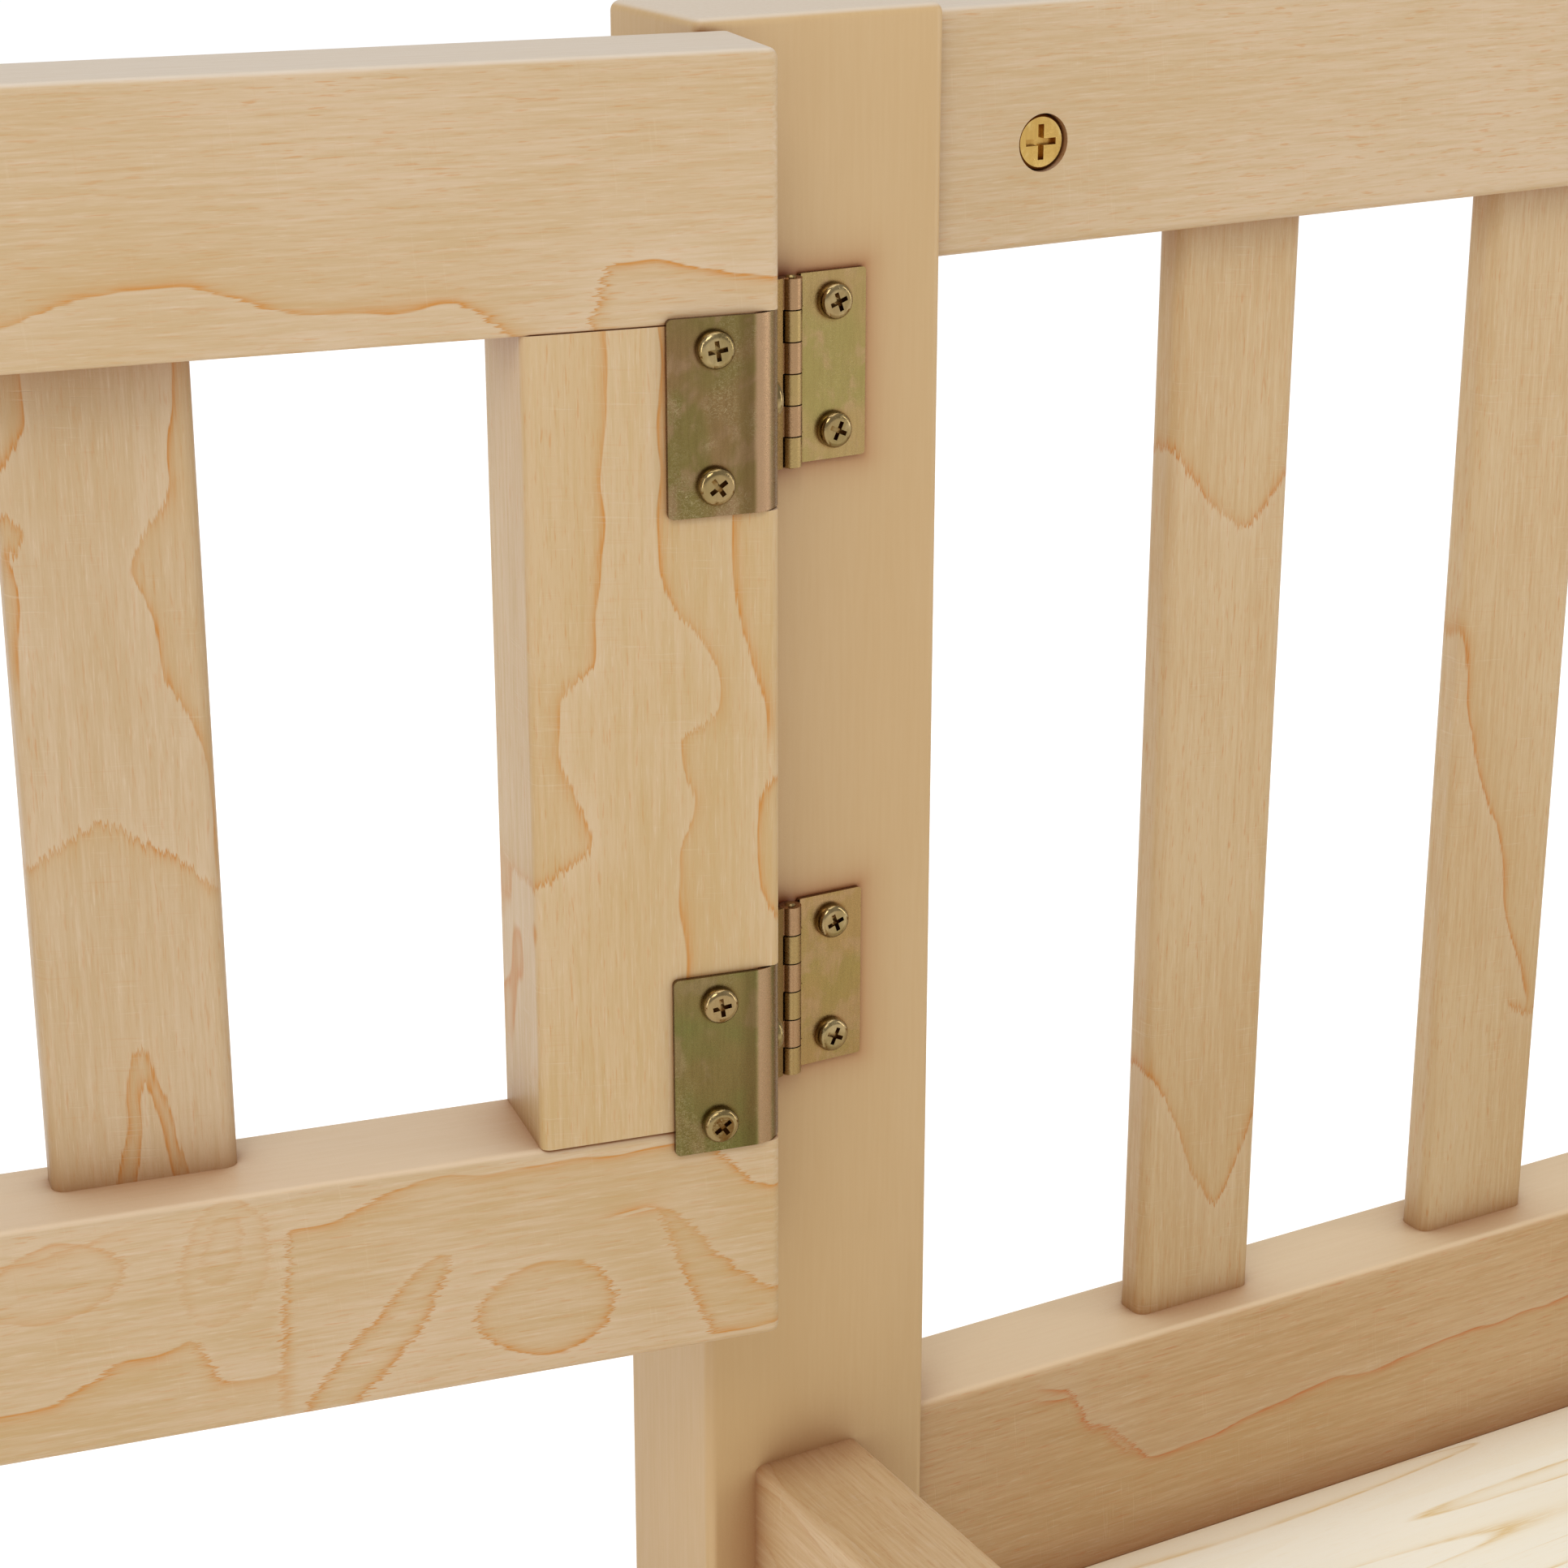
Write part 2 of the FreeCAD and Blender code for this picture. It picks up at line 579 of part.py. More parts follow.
def build_leaf():
    y_mid = (leaf_y0 + leaf_y1) / 2
    saw_line = leaf_high_bottom - edge_r
    top = eased(leaf_x0, leaf_x1, leaf_y0, leaf_y1, saw_line, rail_top, edge_r)
    top = top.cut(block(leaf_x0, leaf_x1, leaf_y0, leaf_y1, saw_line, leaf_high_bottom))
    top = rounded(top, seam_edge_r, lambda d, m: m.z < leaf_high_bottom + 0.01)
    low = eased(leaf_x0, leaf_x1, leaf_y0, leaf_y1, leaf_z0, leaf_low_top, edge_r)
    dowels = []
    seats = [corner_seat(centre) for centre in hinge_centres]
    pilots = []
    for centre in hinge_centres:
        for seat, inward, turn in hinge_screw_seats(centre)[1]:
            pilots.append(pilot(seat, inward))
    for name, x0 in (("leaf_hinge_stile", leaf_x1 - stile_w), ("leaf_latch_stile", leaf_x0)):
        x1 = x0 + stile_w
        stile = board(x0, x1, leaf_y0, leaf_y1, leaf_low_top, leaf_high_bottom, Z_DIR, edge_r)
        for x in leaf_dowel_points(x0, x1):
            for z in (leaf_low_top, leaf_high_bottom):
                start = V(x, y_mid, z - dowel_len / 2)
                dowels.append(chamfered_pin(dowel_r, dowel_len, start, Z_DIR, 0.8))
                hole = rod(dowel_r + glue_gap, dowel_len + 2, start - Z_DIR, Z_DIR)
                stile = stile.cut(hole)
                top = top.cut(hole)
                low = low.cut(hole)
        if name == "leaf_hinge_stile":
            stile = cut_all(stile, seats + pilots)
        else:
            stile = cut_all(stile, [pilot(s, Y_DIR, latch_screw_len) for s in latch_screw_seats()])
        keep_leaf(name, stile)
    top = cut_all(top, seats + pilots)
    low = cut_all(low, seats + pilots)
    y0 = leaf_y0 + leaf_slat_setback
    for k in range(leaf_slat_count):
        x1 = leaf_x1 - stile_w - leaf_gap - k * (leaf_slat_w + leaf_gap)
        slat = board(x1 - leaf_slat_w, x1, y0, y0 + slat_t, leaf_low_top - tenon,
                     leaf_high_bottom + tenon, Z_DIR, slat_edge_r)
        top = top.cut(slat)
        low = low.cut(slat)
        keep_leaf("leaf_slat_%d" % (k + 1), slat)
    keep_leaf("leaf_top_rail", top)
    keep_leaf("leaf_bottom_rail", low)
    keep_leaf("leaf_dowels", Part.makeCompound(dowels))


def build_hinges():
    on_post = []
    on_leaf = []
    for name, centre in zip(("upper", "lower"), hinge_centres):
        keep(name + "_hinge_post_leaf", post_leaf(centre))
        keep(name + "_hinge_pin", hinge_pin(centre))
        keep_leaf(name + "_hinge_wrap_leaf", wrap_leaf(centre))
        post_seats, leaf_seats = hinge_screw_seats(centre)
        on_post += [screw(*seat) for seat in post_seats]
        on_leaf += [screw(*seat) for seat in leaf_seats]
    keep("hinge_post_screws", Part.makeCompound(on_post))
    keep_leaf("hinge_wrap_screws", Part.makeCompound(on_leaf))


# ---- slide latch --------------------------------------------------------------------

latch_screw_len = 16.0
block_screw_len = 62.0
latch_base_len = 50.0
latch_base_h = 34.0
latch_base_x0 = leaf_x0 + 2.0
guide_len = 9.0
guide_wall = 2.0
rod_play = 0.3
keeper_x1 = latch_face_x - 4.0
keeper_x0 = keeper_x1 - keeper_block_w
keeper_len = 16.0
latch_axis_y = leaf_y0 - latch_axis_out


def guide(x0, length, y_face):
    """Arched bridge that holds the rod against its plate."""
    outer_r = latch_rod_r + rod_play + guide_wall
    arch = rod(outer_r, length, V(x0, latch_axis_y, latch_z), X_DIR)
    walls = block(x0, x0 + length, latch_axis_y, y_face, latch_z - outer_r, latch_z + outer_r)
    hole = rod(latch_rod_r + rod_play, length + 2, V(x0 - 1, latch_axis_y, latch_z), X_DIR)
    return arch.fuse(walls).cut(hole)


def latch_plate(x0, length, y_face):
    plate = block(x0, x0 + length, y_face - latch_plate_t, y_face,
                  latch_z - latch_base_h / 2, latch_z + latch_base_h / 2)
    return rounded(plate, 3.0, lambda d, m: abs(d.y) > 0.9)


def latch_screw_seats():
    y = leaf_y0 - latch_plate_t
    seats = []
    for dx in (7.0, latch_base_len - 7.0):
        for dz in (-11.5, 11.5):
            seats.append(V(latch_base_x0 + dx, y, latch_z + dz))
    return seats


def keeper_screw_seats():
    y = leaf_y0 - latch_plate_t
    x = keeper_x1 - keeper_len / 2
    return [V(x, y, latch_z - 11.5), V(x, y, latch_z + 11.5)]


def block_screw_seats():
    x = keeper_x0 + 13.0
    sunk = leaf_y0 + 4.0
    return [V(x, sunk, latch_z - 24.0), V(x, sunk, latch_z + 24.0)]


def build_latch():
    base = latch_plate(latch_base_x0, latch_base_len, leaf_y0)
    guides = [guide(latch_base_x0, guide_len, leaf_y0 - 0.5),
              guide(latch_base_x0 + latch_base_len - guide_len, guide_len, leaf_y0 - 0.5)]
    base = fuse_all([base] + guides)
    way = rod(latch_rod_r + rod_play, 2 * latch_base_len,
              V(latch_base_x0 - 20, latch_axis_y, latch_z), X_DIR)
    base = base.cut(way)
    for seat in latch_screw_seats():
        base = base.cut(rod(screw_r + 0.3, 8, seat - Y_DIR * 2, Y_DIR))
    keep_leaf("latch_base", base)
    keep_leaf("latch_screws", Part.makeCompound(
        [screw(s, Y_DIR, 15 * k, latch_screw_len) for k, s in enumerate(latch_screw_seats())]))

    rod_x0 = leaf_x0 + 1.5
    bolt = chamfered_pin(latch_rod_r, 56.0, V(rod_x0, latch_axis_y, latch_z), X_DIR, 1.2)
    knob_x = latch_base_x0 + latch_base_len - guide_len - 3.2
    stud_hole = rod(1.6, 12.0, V(knob_x, latch_axis_y, latch_z), Y_DIR * -1.0)
    keep_leaf("latch_bolt", bolt.cut(stud_hole))
    stud = rod(1.5, 9.0, V(knob_x, latch_axis_y - 0.5, latch_z), Y_DIR * -1.0)
    neck = rod(2.6, 3.0, V(knob_x, latch_axis_y - latch_rod_r - 0.1, latch_z), Y_DIR * -1.0)
    ball = Part.makeSphere(5.5, V(knob_x, latch_axis_y - latch_rod_r - 7.0, latch_z))
    keep_leaf("latch_knob", fuse_all([stud, neck, ball]))

    timber = eased(keeper_x0, keeper_x1, leaf_y0, post_front,
                   latch_z - keeper_block_h / 2, latch_z + keeper_block_h / 2, edge_r)
    for seat in block_screw_seats():
        timber = timber.cut(rod(screw_head_r + 0.4, 6.0, seat - Y_DIR * 6.0, Y_DIR))
        timber = timber.cut(rod(screw_r + 0.2, 60.0, seat, Y_DIR))
    for seat in keeper_screw_seats():
        timber = timber.cut(pilot(seat, Y_DIR, latch_screw_len))
    keep("keeper_block", timber)
    keep("keeper_block_screws", Part.makeCompound(
        [screw(s, Y_DIR, 40 * k, block_screw_len - 8.0)
         for k, s in enumerate(block_screw_seats())]))
    plate = latch_plate(keeper_x1 - keeper_len, keeper_len, leaf_y0)
    strap = guide(keeper_x1 - keeper_len, keeper_len, leaf_y0 - 0.5)
    keeper = fuse_all([plate, strap])
    mouth_r = latch_rod_r + 0.9
    keeper = keeper.cut(rod(mouth_r, 60, V(keeper_x1 - 30, latch_axis_y, latch_z), X_DIR))
    for seat in keeper_screw_seats():
        keeper = keeper.cut(rod(screw_r + 0.3, 8, seat - Y_DIR * 2, Y_DIR))
    keep("latch_keeper", keeper)
    keep("keeper_screws", Part.makeCompound(
        [screw(s, Y_DIR, 25 + 30 * k, latch_screw_len)
         for k, s in enumerate(keeper_screw_seats())]))


# ---- build and write ----------------------------------------------------------------

build_posts()
build_panel()
build_base()
build_fasteners()
build_leaf()
build_hinges()
build_latch()

os.makedirs("parts", exist_ok=True)
for node_name, node_shape in sorted(nodes.items()):
    if not node_shape.isValid():
        print("not valid:", node_name)
    node_shape.exportStep(os.path.join("parts", node_name + ".step"))
print(len(nodes), "nodes; hinge axis", pivot_x, pivot_y, "leaf", round(leaf_w, 1),
      "latch post", round(latch_post_x, 2), "end post", round(end_post_x, 2))
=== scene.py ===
import json
import math

import bpy
from mathutils import Matrix, Vector


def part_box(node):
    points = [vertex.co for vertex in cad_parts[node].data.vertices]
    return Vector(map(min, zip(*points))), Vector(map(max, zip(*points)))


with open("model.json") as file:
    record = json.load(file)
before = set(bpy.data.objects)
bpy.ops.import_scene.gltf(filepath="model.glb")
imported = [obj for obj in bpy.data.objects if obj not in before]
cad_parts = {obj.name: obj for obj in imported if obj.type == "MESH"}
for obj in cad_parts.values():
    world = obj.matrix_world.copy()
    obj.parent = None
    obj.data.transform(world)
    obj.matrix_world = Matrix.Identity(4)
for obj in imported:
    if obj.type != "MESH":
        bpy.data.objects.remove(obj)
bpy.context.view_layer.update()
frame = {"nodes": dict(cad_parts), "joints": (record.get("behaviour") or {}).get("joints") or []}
nodes = frame["nodes"]
joints = {j["name"]: j for j in frame["joints"]}

MM = 0.001
slide = Vector(joints["latch_slide"]["axis"])
LEAF_TURN = math.atan2(slide.y, -slide.x)      # how far open the leaf rests, in radians


# ---- material building --------------------------------------------------------------

class Tree:
    """A material's node tree with one short call per node."""

    def __init__(self, name):
        self.material = bpy.data.materials.new(name)
        self.material.use_nodes = True
        self.tree = self.material.node_tree
        self.tree.nodes.clear()
        self.out = self.tree.nodes.new("ShaderNodeOutputMaterial")
        self.shader = self.tree.nodes.new("ShaderNodeBsdfPrincipled")
        self.tree.links.new(self.shader.outputs[0], self.out.inputs["Surface"])

    def put(self, socket, value):
        if isinstance(value, bpy.types.NodeSocket):
            self.tree.links.new(value, socket)
        elif value is not None:
            socket.default_value = value

    def math(self, kind, a, b=None, clamp=False):
        node = self.tree.nodes.new("ShaderNodeMath")
        node.operation = kind
        node.use_clamp = clamp
        self.put(node.inputs[0], a)
        self.put(node.inputs[1], b)
        return node.outputs[0]

    def add(self, a, b):
        return self.math("ADD", a, b)

    def mul(self, a, b):
        return self.math("MULTIPLY", a, b)

    def span(self, value, low, high, to_low=0.0, to_high=1.0, smooth=True):
        node = self.tree.nodes.new("ShaderNodeMapRange")
        node.interpolation_type = "SMOOTHSTEP" if smooth else "LINEAR"
        for socket, v in zip(node.inputs[:5], (value, low, high, to_low, to_high)):
            self.put(socket, v)
        return node.outputs[0]

    def vector(self, x, y, z):
        node = self.tree.nodes.new("ShaderNodeCombineXYZ")
        for socket, v in zip(node.inputs, (x, y, z)):
            self.put(socket, v)
        return node.outputs[0]

    def split(self, vector):
        node = self.tree.nodes.new("ShaderNodeSeparateXYZ")
        self.put(node.inputs[0], vector)
        return node.outputs

    def scaled(self, vector, scale, offset=(0, 0, 0)):
        node = self.tree.nodes.new("ShaderNodeVectorMath")
        node.operation = "MULTIPLY_ADD"
        self.put(node.inputs[0], vector)
        node.inputs[1].default_value = scale
        node.inputs[2].default_value = offset
        return node.outputs[0]

    def noise(self, vector, detail=2.0, rough=0.5, scale=1.0, warp=0.0):
        node = self.tree.nodes.new("ShaderNodeTexNoise")
        node.inputs["Scale"].default_value = scale
        node.inputs["Detail"].default_value = detail
        node.inputs["Roughness"].default_value = rough
        node.inputs["Distortion"].default_value = warp
        self.put(node.inputs["Vector"], vector)
        return node.outputs["Fac"]

    def mix(self, factor, a, b, kind="MIX"):
        node = self.tree.nodes.new("ShaderNodeMix")
        node.data_type = "RGBA"
        node.blend_type = kind
        self.put(node.inputs[0], factor)
        self.put(node.inputs[6], a)
        self.put(node.inputs[7], b)
        return node.outputs[2]

    def bump(self, height, strength, distance, normal=None):
        node = self.tree.nodes.new("ShaderNodeBump")
        node.inputs["Strength"].default_value = strength
        node.inputs["Distance"].default_value = distance
        self.put(node.inputs["Height"], height)
        self.put(node.inputs["Normal"], normal)
        return node.outputs[0]

    def place(self):
        node = self.tree.nodes.new("ShaderNodeTexCoord")
        return node.outputs["Object"]

    def facing(self):
        node = self.tree.nodes.new("ShaderNodeTexCoord")
        return node.outputs["Normal"]

    def crevice(self, distance):
        """0 in tight corners, 1 on open faces."""
        node = self.tree.nodes.new("ShaderNodeAmbientOcclusion")
        node.samples = 6
        node.inputs["Distance"].default_value = distance
        return node.outputs["AO"]

    def turned_z(self, vector, centre, angle):
        node = self.tree.nodes.new("ShaderNodeVectorRotate")
        node.rotation_type = "Z_AXIS"
        self.put(node.inputs["Vector"], vector)
        node.inputs["Center"].default_value = centre
        node.inputs["Angle"].default_value = angle
        return node.outputs[0]


def srgb(r, g, b):
    """Linear colour of an sRGB value given from 0 to 255."""
    def line(c):
        c /= 255.0
        return c / 12.92 if c <= 0.04045 else ((c + 0.055) / 1.055) ** 2.4
    return (line(r), line(g), line(b), 1.0)


# ---- wood ---------------------------------------------------------------------------

ORDER = {"x": (0, 2, 1), "y": (1, 2, 0), "z": (2, 0, 1)}
FAR = 9999.0


class Wood:
    """Settings of one sort of timber."""

    def __init__(self, pale, deep, line, **extra):
        """The three colours are the pale wood, the deep wood and its growth lines."""
        self.pale = srgb(*pale)
        self.deep = srgb(*deep)
        self.line = srgb(*line)
        self.lines = extra.get("lines", 1.0)        # strength of the growth lines
        self.levels = extra.get("levels", 5.0)      # how many lines the field gives
        self.fibre = extra.get("fibre", 1.0)        # strength of the fine grain
        self.nicks = extra.get("nicks", 0.5)        # strength of the cross marks
        self.stretch = extra.get("stretch", 0.011)  # waves per mm along the grain
        self.across = extra.get("across", 0.030)    # waves per mm across it
        self.rough = extra.get("rough", 0.46)
        self.jag = extra.get("jag", 4.0)            # reach of the feathering, in mm
        self.fall = extra.get("fall", 1.3)          # how fast a line's core fades, per mm
        self.painted_sheen = extra.get("painted_sheen", 0.75)       # how far upward faces take the painted sheen
        self.top = srgb(*extra.get("top", (205, 193, 178)))      # the painted sheen's colour
        self.shade = srgb(*extra.get("shade", (199, 160, 122)))  # painted shade in wide corners
        self.wash = srgb(*extra.get("wash", (178, 143, 88)))     # deep side of a line
        self.hair = srgb(*extra.get("hair", (203, 182, 156)))    # pale side, pale hairs


BIRCH = Wood((193, 168, 136), (184, 156, 115), (184, 121, 40), nicks=0.25)
# LEAF_LOW's lighter top colour is a painted highlight on the rail's upward face, which the parts
# above shade.
LEAF_LOW = Wood((190, 164, 130), (180, 151, 106), (182, 119, 38), nicks=0.25,
                top=(222, 199, 170))
STILE = Wood((190, 162, 122), (182, 152, 103), (182, 119, 38), nicks=0.5)
SLAT = Wood((189, 164, 131), (180, 152, 112), (178, 116, 40), nicks=0.6)
PANEL_SLAT = Wood((192, 165, 125), (183, 151, 106), (180, 113, 36), nicks=0.6)
POST = Wood((194, 164, 121), (188, 156, 110), (190, 150, 105), lines=0.0, fibre=0.0, nicks=0.0,
            shade=(178, 128, 82))
BEAM = Wood((201, 172, 132), (189, 156, 113), (170, 114, 62), lines=0.4, shade=(180, 134, 92),
            painted_sheen=0.0)
DECK = Wood((249, 246, 235), (246, 242, 226), (220, 184, 104), levels=7.0, stretch=0.0025,
            across=0.045, nicks=0.0, lines=0.8, fibre=0.3, rough=0.6, painted_sheen=0.0, jag=2.0,
            shade=(232, 212, 186), wash=(245, 237, 215), hair=(250, 247, 236), fall=2.4)
# LOW_RAIL: darker birch tones as painted shade near the deck; its lighter top colour is painted
# sheen.
LOW_RAIL = Wood((191, 158, 116), (179, 143, 96), (184, 106, 48), nicks=0.3,
                shade=(178, 130, 86), painted_sheen=0.8, top=(221, 197, 163))


# Each line function takes the place g along the board and a across it, both in mm. It
# gives the distance to the line, positive on its deep side, and how strongly it shows.

def run_line(tree, g, a, start, low, high, shoulders, side=1, strength=1.0):
    """A line along the grain: it starts at one height and steps at each (place, width, rise)."""
    def curve(at):
        height = start
        for place, width, rise in shoulders:
            shoulder = tree.span(at, place - width / 2, place + width / 2, 0.0, rise)
            height = tree.add(shoulder, height)
        return height

    step = 0.5
    here = curve(g)
    slope = tree.math("SUBTRACT", curve(tree.add(g, step)), here) if shoulders else 0.0
    slope = tree.mul(slope, 1.0 / step)
    steep = tree.math("SQRT", tree.add(tree.mul(slope, slope), 1.0))
    away = tree.mul(tree.math("SUBTRACT", a, here), float(side))
    fade = 6.0
    window = tree.mul(tree.span(g, low - fade, low + fade, 0.0, strength),
                      tree.span(g, high + fade, high - fade))
    return tree.math("DIVIDE", away, steep), window


def ring_line(tree, g, a, g0, a0, reach_g, reach_a, tilt=0.0, side=1, strength=1.0):
    """A closed loop round (g0, a0), tilted by some degrees."""
    c, s = math.cos(math.radians(tilt)), math.sin(math.radians(tilt))
    dg = tree.add(g, -g0)
    da = tree.add(a, -a0)
    u = tree.mul(tree.add(tree.mul(dg, c), tree.mul(da, s)), 1.0 / reach_g)
    v = tree.mul(tree.add(tree.mul(da, c), tree.mul(dg, -s)), 1.0 / reach_a)
    inside = tree.math("SUBTRACT", 1.0, tree.add(tree.mul(u, u), tree.mul(v, v)))
    su = tree.mul(u, 1.0 / reach_g)
    sv = tree.mul(v, 1.0 / reach_a)
    steep = tree.math("SQRT", tree.add(tree.mul(su, su), tree.add(tree.mul(sv, sv), 1e-6)))
    return tree.mul(tree.math("DIVIDE", inside, steep), 0.5 * side), strength


def arch_line(tree, g, a, tip, a0, rise, bend, low=-FAR, high=FAR, side=1):
    """A pointed arch across the board with its tip at g = tip; bend rounds the tip."""
    da = tree.add(a, -a0)
    root = tree.math("SQRT", tree.add(tree.mul(da, da), bend * bend))
    away = tree.math("SUBTRACT", g, tree.add(tree.mul(tree.add(root, -bend), rise), tip))
    slope = tree.math("DIVIDE", tree.mul(da, rise), root)
    steep = tree.math("SQRT", tree.add(tree.mul(slope, slope), 1.0))
    fade = 3.0
    window = tree.mul(tree.span(a, low - fade, low + fade),
                      tree.span(a, high + fade, high - fade))
    return tree.mul(tree.math("DIVIDE", away, steep), float(side)), window


MARKS = {"run": run_line, "ring": ring_line, "arch": arch_line}


def wild_line(tree, g, a, t, wood, seed, low, high):
    """Level lines of a smooth field, between two places along the board."""
    def field(at_g, at_a):
        board = tree.vector(at_g, at_a, t)
        shifted = tree.scaled(board, (wood.stretch, wood.across, wood.across * 0.8),
                              (seed * 3.17, seed * 1.31, seed * 2.23))
        return tree.noise(shifted, detail=1.0, rough=0.35)

    step = 0.8
    here = field(g, a)
    da = tree.mul(tree.math("SUBTRACT", field(g, tree.add(a, step)), here), wood.levels / step)
    dg = tree.mul(tree.math("SUBTRACT", field(tree.add(g, step), a), here), wood.levels / step)
    slope = tree.math("SQRT", tree.add(tree.mul(da, da), tree.add(tree.mul(dg, dg), 1e-5)))
    level = tree.math("FRACT", tree.mul(here, wood.levels))
    fade = 15.0
    window = tree.mul(tree.span(g, low - fade, low + fade),
                      tree.span(g, high + fade, high - fade))
    return tree.math("DIVIDE", tree.add(level, -0.5), slope), window


LINE_DRIFT = 6.0             # how far the lines wander across the board, in mm
CORE_START = (-0.35, 0.12)   # a line's core sets in between these distances, in mm
PALE_START = (0.1, -0.4)     # and the pale wood before it between these
WASH_FADE = -0.2             # how the deep side fades, per mm
PALE_FADE = -0.22            # how the pale side fades, per mm
CORE_SHARE = 0.95
WASH_SHARE = 0.42
PALE_SHARE = 0.22


def growth_marks(tree, board, g, a, t, wood, seed, marks, wild, offset):
    """Strength of the growth lines, and how far the wood beside them is deep or pale."""
    jag = tree.noise(tree.scaled(board, (0.05, 2.1, 2.1), offset[::-1]), 2.0, 0.75)
    shifted = tree.add(g, tree.mul(tree.add(jag, -0.5), wood.jag * 2.0))
    drift = tree.noise(tree.scaled(board, (0.05, 0.07, 0.07), offset), 1.0, 0.4)
    across = tree.add(a, tree.mul(tree.add(drift, -0.5), LINE_DRIFT))
    lines = [MARKS[kind](tree, shifted, across, *rest) for kind, *rest in marks]
    if wild:
        lines.append(wild_line(tree, shifted, a, t, wood, seed, *wild))
    feather = tree.noise(tree.scaled(board, (0.12, 2.2, 2.2), offset), 2.0, 0.6)
    presence = tree.span(tree.noise(tree.scaled(board, (0.03, 0.05, 0.05), offset)), 0.34, 0.58,
                         0.45, 1.0)
    presence = tree.mul(presence, tree.span(feather, 0.30, 0.58, 0.45, 1.15))
    crisp = deep = pale = 0.0
    for away, window in lines:
        inner = tree.math("MAXIMUM", away, 0.0)
        outer = tree.math("MAXIMUM", tree.mul(away, -1.0), 0.0)
        edge = tree.span(away, *CORE_START)
        core = tree.mul(edge, tree.math("EXPONENT", tree.mul(inner, -wood.fall)))
        crisp = tree.math("MAXIMUM", crisp, tree.mul(core, window))
        wash = tree.mul(edge, tree.math("EXPONENT", tree.mul(inner, WASH_FADE)))
        deep = tree.math("MAXIMUM", deep, tree.mul(wash, window))
        light = tree.mul(tree.span(away, *PALE_START),
                         tree.math("EXPONENT", tree.mul(outer, PALE_FADE)))
        pale = tree.math("MAXIMUM", pale, tree.mul(light, window))
    return tree.mul(crisp, presence), deep, pale


PLATE_SHADOW_REACH = 3.0 * MM


def plate_shadow(tree, place, boxes):
    """Painted shadow round the hinge plates: 1 at the rim of each plate, falling off within a few
    millimetres.
    """
    x, _, z = tree.split(place)
    total = 0.0
    for low, high in boxes:
        dx = tree.math("ABSOLUTE", tree.add(x, -(low.x + high.x) / 2))
        dz = tree.math("ABSOLUTE", tree.add(z, -(low.z + high.z) / 2))
        dx = tree.math("MAXIMUM", tree.add(dx, -(high.x - low.x) / 2), 0.0)
        dz = tree.math("MAXIMUM", tree.add(dz, -(high.z - low.z) / 2), 0.0)
        away = tree.math("SQRT", tree.add(tree.mul(dx, dx), tree.mul(dz, dz)))
        total = tree.math("MAXIMUM", total,
                          tree.math("EXPONENT", tree.mul(away, -1.0 / PLATE_SHADOW_REACH)))
    return total


def with_fibres(tree, colour, height, board, cloud, wood, offset):
    """Short flecks, dark and pale hairs along the grain."""
    hair = tree.noise(tree.scaled(board, (0.15, 2.6, 2.6), offset), 2.0, 0.6)
    fleck_field = tree.noise(tree.scaled(board, (0.16, 1.7, 1.7), offset[::-1]), 2.0, 0.5)
    where = tree.span(cloud, 0.40, 0.60, 0.55, 1.0)
    fleck = tree.mul(tree.span(fleck_field, 0.61, 0.72), where)
    dark_hair = tree.span(hair, 0.58, 0.72, 0.0, 0.26 * wood.fibre)
    pale_hair = tree.span(hair, 0.42, 0.28, 0.0, 0.34 * wood.fibre)
    colour = tree.mix(tree.mul(fleck, 0.42 * wood.fibre), colour, wood.line)
    colour = tree.mix(dark_hair, colour, wood.line)
    colour = tree.mix(pale_hair, colour, wood.hair)
    return colour, tree.add(height, tree.mul(hair, 0.4))


def with_nicks(tree, colour, height, g, a, t, board, wood, offset):
    """Fine marks across the grain, as a planer leaves them, in some places only."""
    leaning = tree.vector(tree.add(g, tree.mul(a, 0.09)), a, t)
    field = tree.noise(tree.scaled(leaning, (1.7, 0.07, 0.07), offset), 2.0, 0.5)
    where = tree.span(tree.noise(tree.scaled(board, (0.03, 0.05, 0.05), offset[::-1])),
                      0.44, 0.60)
    dark = tree.mul(tree.span(field, 0.62, 0.74), where)
    pale = tree.mul(tree.span(field, 0.38, 0.27), where)
    colour = tree.mix(tree.mul(dark, 0.22 * wood.nicks), colour, wood.line)
    colour = tree.mix(tree.mul(pale, 0.42 * wood.nicks), colour, srgb(208, 187, 157))
    return colour, tree.add(height, tree.mul(pale, -0.8 * wood.nicks))


def with_corner_shade(tree, colour, wood):
    """Painted shade: darker, warmer colour in the corners where boards meet, from ambient
    occlusion.
    """
    wide = tree.span(tree.crevice(0.028), 0.30, 0.88)
    colour = tree.mix(wide, tree.mix(1.0, colour, wood.shade, "MULTIPLY"), colour)
    # Painted shade in tight corners, a lighter tint.
    tight = tree.span(tree.crevice(0.004), 0.15, 0.75)
    tinted = tree.mix(1.0, colour, srgb(236, 214, 194), "MULTIPLY")
    return tree.mix(tight, tinted, colour)


